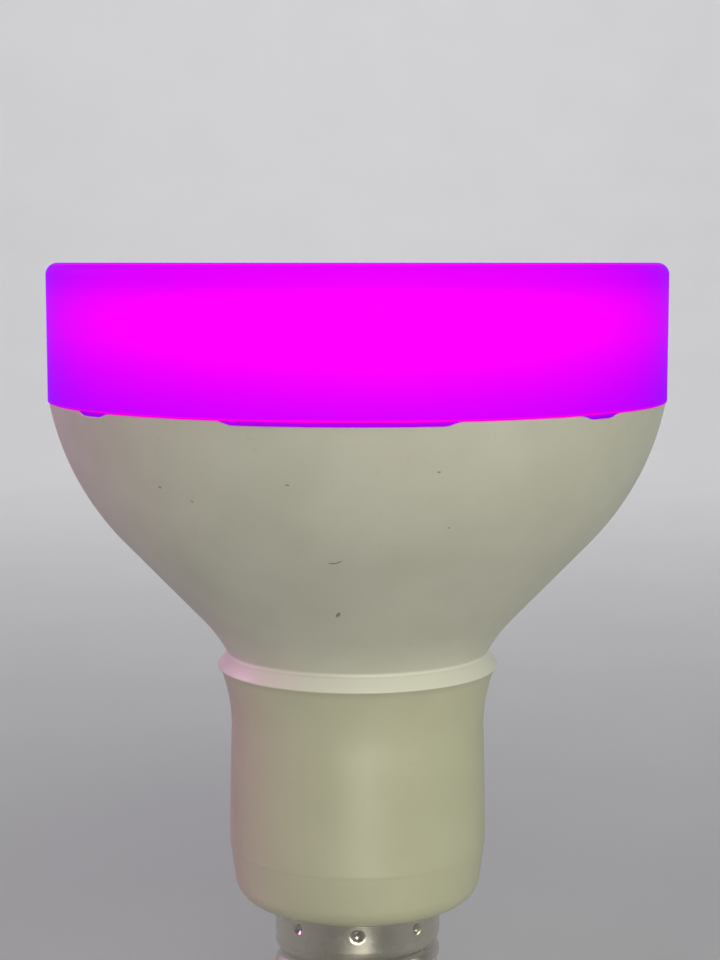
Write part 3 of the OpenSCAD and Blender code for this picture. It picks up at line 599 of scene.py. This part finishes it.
def patternedFinish(values):
    material, tree, shader, place = startMaterial(values["name"], values.get("sockets"))
    pattern = patternFor(tree, place, values)
    body = blend(tree, pattern, *(linear(tone) for tone in values["tones"]))
    height = heightOf(tree, place)
    for low, high, colour in values.get("bands", []):
        inside = addNode(tree, "Math", {0: height, 1: (low + high) / 2 * mm, 2: (high - low) / 2 * mm},
                         operation="COMPARE")
        body = blend(tree, inside, body, linear(colour))
    if "window" in values:
        # The window's floor faces the lens and lies just under the package's top
        facing = heightOf(tree, addNode(tree, "NewGeometry").outputs["Normal"])
        level = addNode(tree, "Math", {0: facing, 1: 0.9}, operation="GREATER_THAN")
        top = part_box("warm_white_leds")[1].z - 0.07 * mm
        sunk = addNode(tree, "Math", {0: height, 1: top}, operation="LESS_THAN")
        inside = addNode(tree, "Math", {0: level, 1: sunk}, operation="MULTIPLY")
        body = blend(tree, inside, body, linear(values["window"]))
    rough = spread(tree, pattern, 0.25, 0.75, *values.get("roughness", (0.3, 0.42)))
    bump = addNode(tree, "Bump", {"Height": pattern, "Distance": values.get("relief", 0.004) * mm})
    wire(tree, shader, body, rough, bump)
    return material


# The lens: a drum with a flat front, a skirt inside the bowl's rim and tabs over the rim's reliefs
lensShape = {
    "wall": 1.6,
    "frontEdge": 1.8,
    "innerEdge": 1.0,
    "skirtWall": 1.4,
    "skirtDepth": 3.05,
    "snapGroove": (1.1, 2.1),   # below the rim, in the skirt's face
    "grooveDepth": 0.5,
    "wallRamp": (0.8, 2.6),     # above the rim, where the bore widens from skirt to wall
    "tabRadius": 47.08,
    "thinnestTab": 0.04,
    "rimEdge": 0.12,
    "steps": 360,
}


def buildLens():
    values = lensShape
    wallRadius = lensRadius - values["wall"]
    skirtRadius = seatRadius - 0.05
    skirtBore = skirtRadius - values["skirtWall"]
    skirtEnd = rimHeight - values["skirtDepth"]
    ceiling = lensTop - values["wall"]
    grooveTop, grooveEnd = (rimHeight - drop for drop in values["snapGroove"])
    grooveRadius = skirtRadius - values["grooveDepth"]
    rampStart, rampEnd = (rimHeight + rise for rise in values["wallRamp"])
    bm = spinOutline([
        (0, lensTop), (lensRadius * 0.5, lensTop), (lensRadius, lensTop), (lensRadius, rimHeight + 7),
        (lensRadius, rimHeight), (values["tabRadius"], rimHeight), (skirtRadius, rimHeight),
        (skirtRadius, grooveTop), (grooveRadius, grooveTop), (grooveRadius, grooveEnd),
        (skirtRadius, grooveEnd), (skirtRadius, skirtEnd), (skirtBore, skirtEnd), (skirtBore, rampStart),
        (wallRadius, rampEnd), (wallRadius, ceiling), (wallRadius * 0.5, ceiling), (0, ceiling),
    ], values["steps"], closed=False)
    # Tabs that fill the rim's reliefs
    tabFaces = [f for f in bm.faces
                if abs(f.calc_center_median().z / mm - rimHeight) < 0.01
                and skirtRadius < ringRadius(f.calc_center_median()) < values["tabRadius"]
                and reliefDepth(f.calc_center_median()) > values["thinnestTab"]]
    grown = bmesh.ops.extrude_face_region(bm, geom=tabFaces)["geom"]
    bmesh.ops.delete(bm, geom=tabFaces, context="FACES_ONLY")
    for item in grown:
        if isinstance(item, bmesh.types.BMVert):
            item.co.z -= max(reliefDepth(item.co), values["thinnestTab"]) * mm
    roundRings(bm, [(lensRadius, lensTop)], values["frontEdge"], 10)
    roundRings(bm, [(wallRadius, ceiling)], values["innerEdge"], 4)
    roundRings(bm, [(lensRadius, rimHeight)], values["rimEdge"], 3)
    finishPiece(bm, "lensDrum", "diffuser_lens", litPolycarbonate())


# The bowl: its outline, its wall and the spigot that snaps into the collar
bowlShape = {
    "tones": ("#CAC9BC", "#C1C0B2"),
    "litLip": (0.55, 0.0),  # above the notch, where the painted light of the up-facing lip fades in
    "rimRadius": 47.3,
    "notchRadius": 20.4,
    "wall": 1.9,
    "rimTilt": 10.3,
    "coneTilt": 43.7,
    "neckTilt": 28,
    "sweepRadius": 26,
    "seatDepth": 3.1,
    "floorRise": 1.8,       # the floor over the spigot, above the notch
    "spigotRadius": 18.4,
    "spigotBore": 16.9,
    "spigotDepth": 8.6,
    "beadDrop": 7,          # the snap bead's lower edge, below the notch
    "beadOut": 0.3,
    "footRound": 0.55,      # hollow round where the bowl turns out to the collar's lip
    "lipTilt": 41,          # tilt of the lip's face there
    "seamGap": 0.05,
    "rimEdge": 0.22,
    "seatEdge": 0.15,
    "steps": 360,
}


def bowlLine(depth):
    # The bowl's wall from rim to notch, moved inwards by depth: an arc, a straight cone and a hollow
    # arc, all tangent. The arc's radius follows from the drop and the reach between rim and notch.
    values = bowlShape
    tilts = ("rimTilt", "coneTilt", "neckTilt")
    rimTilt, coneTilt, neckTilt = (math.radians(values[key]) for key in tilts)
    sweep = values["sweepRadius"]
    reach = (values["rimRadius"] - values["notchRadius"]
             - sweep * (math.cos(neckTilt) - math.cos(coneTilt)))
    drop = rimHeight - notchHeight - sweep * (math.sin(coneTilt) - math.sin(neckTilt))
    arcReach = math.cos(rimTilt) - math.cos(coneTilt)
    arcDrop = math.sin(coneTilt) - math.sin(rimTilt)
    bulge = ((reach * math.cos(coneTilt) - math.sin(coneTilt) * drop)
             / (arcReach * math.cos(coneTilt) - math.sin(coneTilt) * arcDrop))
    bulgeCentre = (values["rimRadius"] - bulge * math.cos(rimTilt),
                   rimHeight + bulge * math.sin(rimTilt))
    sweepCentre = (values["notchRadius"] + sweep * math.cos(neckTilt),
                   notchHeight - sweep * math.sin(neckTilt))
    return (arcPoints(bulgeCentre, bulge - depth, -values["rimTilt"], -values["coneTilt"], 26)
            + arcPoints(sweepCentre, sweep + depth,
                        180 - values["coneTilt"], 180 - values["neckTilt"], 12))


def buildBowl():
    values = bowlShape
    seatHeight = rimHeight - values["seatDepth"]
    beadHeight = notchHeight - values["beadDrop"]
    floorHeight = notchHeight + values["floorRise"]
    inner = [p for p in reversed(bowlLine(values["wall"]))
             if floorHeight + 0.3 < p[1] < seatHeight - 0.2]
    bore, spigot = values["spigotBore"], values["spigotRadius"]
    spigotEnd = notchHeight - values["spigotDepth"]
    bead = spigot + values["beadOut"]
    # Foot: the wall turns outwards in a hollow round that ends just above the lip's face
    footRound, seam = values["footRound"], notchHeight + values["seamGap"]
    tilt = math.radians(values["neckTilt"])
    lead = footRound * math.tan(math.radians((values["neckTilt"] + values["lipTilt"]) / 2))
    start = (values["notchRadius"] + lead * math.sin(tilt), seam + lead * math.cos(tilt))
    centre = (start[0] + footRound * math.cos(tilt), start[1] - footRound * math.sin(tilt))
    foot = arcPoints(centre, footRound, 180 - values["neckTilt"], 180 + values["lipTilt"], 10)
    wall = [p for p in bowlLine(0) if p[1] > start[1] + 0.05]
    bm = spinOutline(wall + foot + [
        (foot[-1][0] - 0.02, foot[-1][1] - 0.03), (values["notchRadius"] + 0.03, notchHeight - 0.02),
        (spigot, notchHeight), (spigot, beadHeight + 1.2), (bead, beadHeight + 0.8),
        (bead, beadHeight + 0.4), (spigot, beadHeight), (spigot, spigotEnd), (bore, spigotEnd),
        (bore, floorHeight), (inner[0][0] - 0.4, floorHeight)] + inner + [
        (inner[-1][0] + 0.1, seatHeight), (seatRadius, seatHeight), (seatRadius, rimHeight)],
        values["steps"])
    roundRings(bm, [(values["rimRadius"], rimHeight)], values["rimEdge"], 4)
    roundRings(bm, [(seatRadius, rimHeight)], values["seatEdge"], 2)
    for vert in bm.verts:
        if vert.co.z / mm > rimHeight - 0.4:    # the rim's edge with its rounds
            vert.co.z -= reliefDepth(vert.co) * mm
    finishPiece(bm, "bowlHousing", "upper_housing",
                satinPbt("satinBonePbt", values["tones"], bowlMarks, values["litLip"]))


# The collar: sharp lip, hollow flare, belly, faint step and rounded foot, with board rails inside
collarShape = {
    "tones": ("#C1C0A8", "#B9B89F"),
    # painted light: heights below the notch where the paler tone of the up-facing lip fades in
    "litLip": (-2.45, -2.15),
    "lipRadius": 21.95,
    "lipRound": 0.25,
    "lipDrop": 2.15,
    "lipFaceRadius": 10,
    "lipFaceTilts": (45, 31),   # of the lip's upper face, from the bowl outwards
    "waistRadius": 19.87,
    "waistDrop": 11.6,
    "flareRadius": 25.3,
    "flareTilt": 20.2,
    "bellyRadius": 20.2,
    "stepHeight": 9,        # above the foot
    "footRadius": 20.03,
    "footTaper": 0.6,
    "footRound": 3.75,
    "bore": 18.45,
    "spigotRadius": 11.95,
    "spigotBore": 10.3,
    "spigotEnd": 7.5,
    "shoulderRadius": 12.75,
    "shoulderDepth": 5,
    "snapGroove": (1.6, 4),     # below the foot, for the cap's dimples
    "grooveDepth": 0.6,
    "beadSeat": (7.1, 5.7),     # below the notch, for the bowl's snap bead
    "beadSeatDepth": 0.35,
    "rails": ((3, 6.1), (12, 15.1)),    # where they stand on each side, in degrees
    "railTop": 56,
    "railReach": 12.5,
    "steps": 240,
}


def buildCollar():
    values = collarShape
    lipCentre = (values["lipRadius"] - values["lipRound"], notchHeight - values["lipDrop"])
    back = values["lipFaceRadius"] - values["lipRound"]
    faceStart, faceEnd = values["lipFaceTilts"]
    faceCentre = (lipCentre[0] - back * math.cos(math.radians(faceEnd)),
                  lipCentre[1] - back * math.sin(math.radians(faceEnd)))
    waistHeight = notchHeight - values["waistDrop"]
    stepHeight = footHeight + values["stepHeight"]
    flareCentre = (values["waistRadius"] + values["flareRadius"], waistHeight)
    belly = []
    for i in range(1, 13):
        part = i / 12
        bulge = (values["bellyRadius"] - values["waistRadius"]) * math.sin(math.pi / 2 * part)
        belly.append((values["waistRadius"] + bulge, waistHeight - (waistHeight - stepHeight) * part))
    # The faint step is a soft shoulder one millimetre high
    stepDown = values["bellyRadius"] - values["footRadius"]
    soft = [(values["bellyRadius"] - stepDown * (0.5 - 0.5 * math.cos(math.pi * i / 6)),
             stepHeight - i / 6) for i in range(1, 7)]
    footCentre = (values["footRadius"] - values["footTaper"] - values["footRound"],
                  footHeight + values["footRound"])
    bore, floorHeight = values["bore"], footHeight + 2
    shoulder, spigot = values["shoulderRadius"], values["spigotRadius"]
    groove, shoulderEnd = shoulder - values["grooveDepth"], footHeight - values["shoulderDepth"]
    grooveTop, grooveEnd = (footHeight - drop for drop in values["snapGroove"])
    seat = bore + values["beadSeatDepth"]
    seatEnd, seatTop = (notchHeight - drop for drop in values["beadSeat"])
    outline = (arcPoints(faceCentre, values["lipFaceRadius"], faceStart, faceEnd, 6)
               + arcPoints(lipCentre, values["lipRound"], faceEnd, -45, 7)[1:]
               + arcPoints(flareCentre, values["flareRadius"], 180 - values["flareTilt"], 180, 14)
               + belly + soft
               + arcPoints(footCentre, values["footRound"], 0, -90, 14)
               + [(shoulder, footHeight), (shoulder, grooveTop), (groove, grooveTop),
                  (groove, grooveEnd), (shoulder, grooveEnd), (shoulder, shoulderEnd),
                  (spigot, shoulderEnd), (spigot, values["spigotEnd"]),
                  (values["spigotBore"], values["spigotEnd"]), (values["spigotBore"], floorHeight),
                  (bore, floorHeight), (bore, values["railTop"]), (bore, seatEnd), (seat, seatEnd),
                  (seat, seatTop), (bore, seatTop), (bore, notchHeight - 0.05)])
    bm = spinOutline(outline, values["steps"])
    # Rails that hold the driver board's edges, drawn inwards from the bore
    for side in (-1, 1):
        for low, high in values["rails"]:
            railFaces = []
            for face in bm.faces:
                middle = face.calc_center_median()
                angle = math.degrees(math.atan2(middle.y, side * middle.x))
                if (abs(ringRadius(middle) - bore) < 0.05 and low < angle < high
                        and floorHeight < middle.z / mm < values["railTop"]):
                    railFaces.append(face)
            grown = bmesh.ops.extrude_face_region(bm, geom=railFaces)["geom"]
            bmesh.ops.delete(bm, geom=railFaces, context="FACES_ONLY")
            for item in grown:
                if isinstance(item, bmesh.types.BMVert):
                    item.co.x = side * values["railReach"] * mm
    finishPiece(bm, "neckCollar", "neck_collar",
                satinPbt("satinCollarPbt", values["tones"], [], values["litLip"]))


# The screw cap's sheet shell, with a rolled right-hand thread and punched dimples
shellShape = {
    "threadRadius": 13.1,
    "threadDepth": 0.7,
    "pitch": 3.629,
    "wall": 0.3,
    "curlRadius": 10.2,
    "curlHeight": 7.6,
    "lowEnd": 5.35,
    "plainDrop": 5.4,       # the plain skirt starts this far below the foot
    "dimples": 8,
    "dimpleDrop": 2.8,
    "dimpleDepth": 0.45,
    "dimpleWidth": 0.75,
    "rows": 150,
    "steps": 288,
}


def threadWave(angle, height):
    # How far the rolled sheet stands out or in at this place, in millimetres
    values = shellShape
    plain = footHeight - values["plainDrop"]
    fade = easeIn((height - values["curlHeight"] + 0.4) / 2) * easeIn((plain - height) / 2)
    wave = fade * math.cos(fullTurn * height / values["pitch"] - angle)
    wave += easeIn((height - plain + 1.5) / 1.5)
    lip = 0.2 * easeIn(height - footHeight + 1.05)
    pitchAngle = fullTurn / values["dimples"]
    across = ((angle + pitchAngle / 2) % pitchAngle - pitchAngle / 2) * values["threadRadius"]
    upwards = height - footHeight + values["dimpleDrop"]
    punch = math.exp(-((across ** 2 + upwards ** 2) / (values["dimpleWidth"] ** 2)) ** 2)
    return values["threadDepth"] / 2 * wave + lip - values["dimpleDepth"] * punch


def buildScrewShell():
    values = shellShape
    middle = values["threadRadius"] - values["threadDepth"] / 2 - values["wall"] / 2
    curlTop = middle - 0.1
    top = footHeight - 0.05
    half = values["wall"] / 2
    # The curl at the low end is a quarter of an ellipse, with the sheet's two faces beside it
    outer, inner = [], []
    for turn in range(0, 90, 6):
        out, up = math.sin(math.radians(turn)), math.cos(math.radians(turn))
        radius = values["curlRadius"] + (curlTop - values["curlRadius"]) * out
        height = values["curlHeight"] - (values["curlHeight"] - values["lowEnd"]) * up
        outer.append((radius + half * out, height - half * up))
        inner.append((radius - half * out, height + half * up))
    heights = [values["curlHeight"] + (top - values["curlHeight"]) * i / values["rows"]
               for i in range(values["rows"] + 1)]
    outline = (outer + [(middle + half, z) for z in heights]
               + [(middle - half, z) for z in reversed(heights)] + inner[::-1])
    bm = spinOutline(outline, values["steps"])
    for vert in bm.verts:
        height = vert.co.z / mm
        if height >= values["curlHeight"] - 0.001:
            radius = ringRadius(vert.co)
            grown = (radius + threadWave(math.atan2(vert.co.y, vert.co.x), height)) / radius
            vert.co.x *= grown
            vert.co.y *= grown
    finishPiece(bm, "screwShell", "screw_shell", rolledNickelBrass())


# The cap's end: a black cone round the centre contact, a domed cap with a hollow rivet shank
capEndShape = {
    "coneBore": 1.55,
    "coneFace": 1.7,
    "coneFaceRadius": 5.2,
    "coneFaceRound": 0.35,
    "ledgeHeight": 6,
    "ledgeRadius": 11.2,
    "coneTop": 7.4,
    "domeRound": 2.2,
    "domeEdge": 1.25,
    "contactTop": 1.68,
    "shankRadius": 1.5,
    "shankTop": 8.4,
    "shankBore": 0.8,
    "boreFloor": 2.6,
    "edgeRound": 0.12,
}


def buildCapEnd():
    values = capEndShape
    curl = shellShape["curlRadius"] - 0.1
    low = shellShape["lowEnd"] - 0.1
    bore, face, ledge, top = (values[key] for key in ("coneBore", "coneFace", "ledgeHeight", "coneTop"))
    bm = spinOutline([(bore, face), (values["coneFaceRadius"], face), (curl, low), (curl, ledge),
                      (values["ledgeRadius"], ledge), (values["ledgeRadius"], top), (bore, top)], 160)
    roundRings(bm, [(values["coneFaceRadius"], face)], values["coneFaceRound"], 4)
    finishPiece(bm, "capInsulator", "cap_insulator",
                patternedFinish(finishes["black_insulator"]))
    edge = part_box("centre_contact")[1].x / mm
    dome, back, shank = values["domeRound"], values["contactTop"], values["shankRadius"]
    tip = arcPoints((edge - 2.5, dome), dome, -90, -30, 10)
    bm = spinOutline([(0, 0)] + tip + [
        (edge, values["domeEdge"]), (edge, back), (shank, back), (shank, values["shankTop"]),
        (values["shankBore"], values["shankTop"]), (values["shankBore"], values["boreFloor"]),
        (0, values["boreFloor"])], 128, closed=False)
    roundRings(bm, [(edge, values["domeEdge"]), (edge, back)], values["edgeRound"], 3)
    finishPiece(bm, "contactTip", "centre_contact",
                patternedFinish(finishes["contact_metal"]))


def paleCard():
    # Matt white studio card, with the faintest fibre cloud
    material, tree, shader, place = startMaterial("paleStudioCard", {"Roughness": 0.9,
                                                                     "Specular IOR Level": 0.2})
    body = blend(tree, noise(tree, place, 60), linear("#E6E6E8"), linear("#ECECEE"))
    tree.links.new(body, shader.inputs["Base Color"])
    return material


# Round card that sweeps up on every side, so no horizon line shows from any angle
cardShape = {
    "reach": 1500,
    "sweepRadius": 600,
    "wallTop": 1700,
    "steps": 96,
}


def buildStudio():
    reach, sweep = cardShape["reach"], cardShape["sweepRadius"]
    bm = spinOutline([(0, 0), (reach - sweep, 0)] + arcPoints((reach - sweep, sweep), sweep, -90, 0, 20)
                     + [(reach, cardShape["wallTop"])], cardShape["steps"], closed=False)
    bmesh.ops.reverse_faces(bm, faces=bm.faces)
    for face in bm.faces:
        face.smooth = True
    mesh = bpy.data.meshes.new("studioCard")
    bm.to_mesh(mesh)
    bm.free()
    mesh.materials.append(paleCard())
    card = bpy.data.objects.new("studioCard", mesh)
    bpy.context.scene.collection.objects.link(card)
    skipped = bpy.data.collections.new("skippedByLowLights")
    skipped.objects.link(card)
    skipped.collection_objects[0].light_linking.link_state = "EXCLUDE"
    for name, light in studioLights.items():
        if light.get("skipsCard"):
            linking = bpy.data.objects[name].light_linking
            linking.receiver_collection = linking.blocker_collection = skipped


# Width in millimetres of the round on each node's edges
edgeRounds = {
    "led_board": 0.1, "wireless_board": 0.06, "wireless_shield_can": 0.12, "board_socket": 0.2,
    "header_strip": 0.15, "header_pins": 0.08, "driver_board": 0.1, "transformer_core": 0.3,
    "transformer_bobbin": 0.12, "transformer_winding": 0.3, "choke_core": 0.2, "choke_winding": 0.35,
    "bulk_capacitor": 0.5, "output_capacitor": 0.4, "film_capacitor": 0.6, "bridge_rectifier": 0.15,
    "driver_chip": 0.12, "colour_driver_chip": 0.12, "diodes": 0.15, "chip_resistors": 0.06,
    "chip_capacitors": 0.12, "board_screws": 0.1, "warm_white_leds": 0.08, "cool_white_leds": 0.08,
    "red_leds": 0.08, "green_leds": 0.08, "blue_leds": 0.08, "lens_adhesive": 0.2, "solder_joints": 0.12,
}
smoothWires = ["live_wire", "neutral_wire"]


def finishInside():
    slotOf = {part["node"]: part["material_slot"] for part in frame["record"]["subparts"]}
    made = {}
    for name, node in frame["nodes"].items():
        if node.hide_render:
            continue        # a finer piece stands for it
        slot = slotOf[name]
        if slot not in made:
            made[slot] = patternedFinish(finishes[slot])
        for place in node.material_slots:
            place.material = made[slot]
        if name in edgeRounds or name in smoothWires:
            weld = node.modifiers.new("joinTriangles", "WELD")
            weld.merge_threshold = 0.002 * mm
        if name in edgeRounds:
            bevel = node.modifiers.new("softEdges", "BEVEL")
            bevel.width = edgeRounds[name] * mm
            bevel.segments = 2
            bevel.limit_method = "ANGLE"
            bevel.angle_limit = math.radians(40)
        if name in smoothWires:
            rounding = node.modifiers.new("roundWire", "SUBSURF")
            rounding.levels = rounding.render_levels = 2
    print(len(made), "finishes on the nodes inside")


placeCamera()
placeLights()
buildStudio()
print("studio ready")
buildLens()
buildBowl()
buildCollar()
print("lens, bowl and collar built")
buildScrewShell()
buildCapEnd()
print("screw cap built")
finishInside()
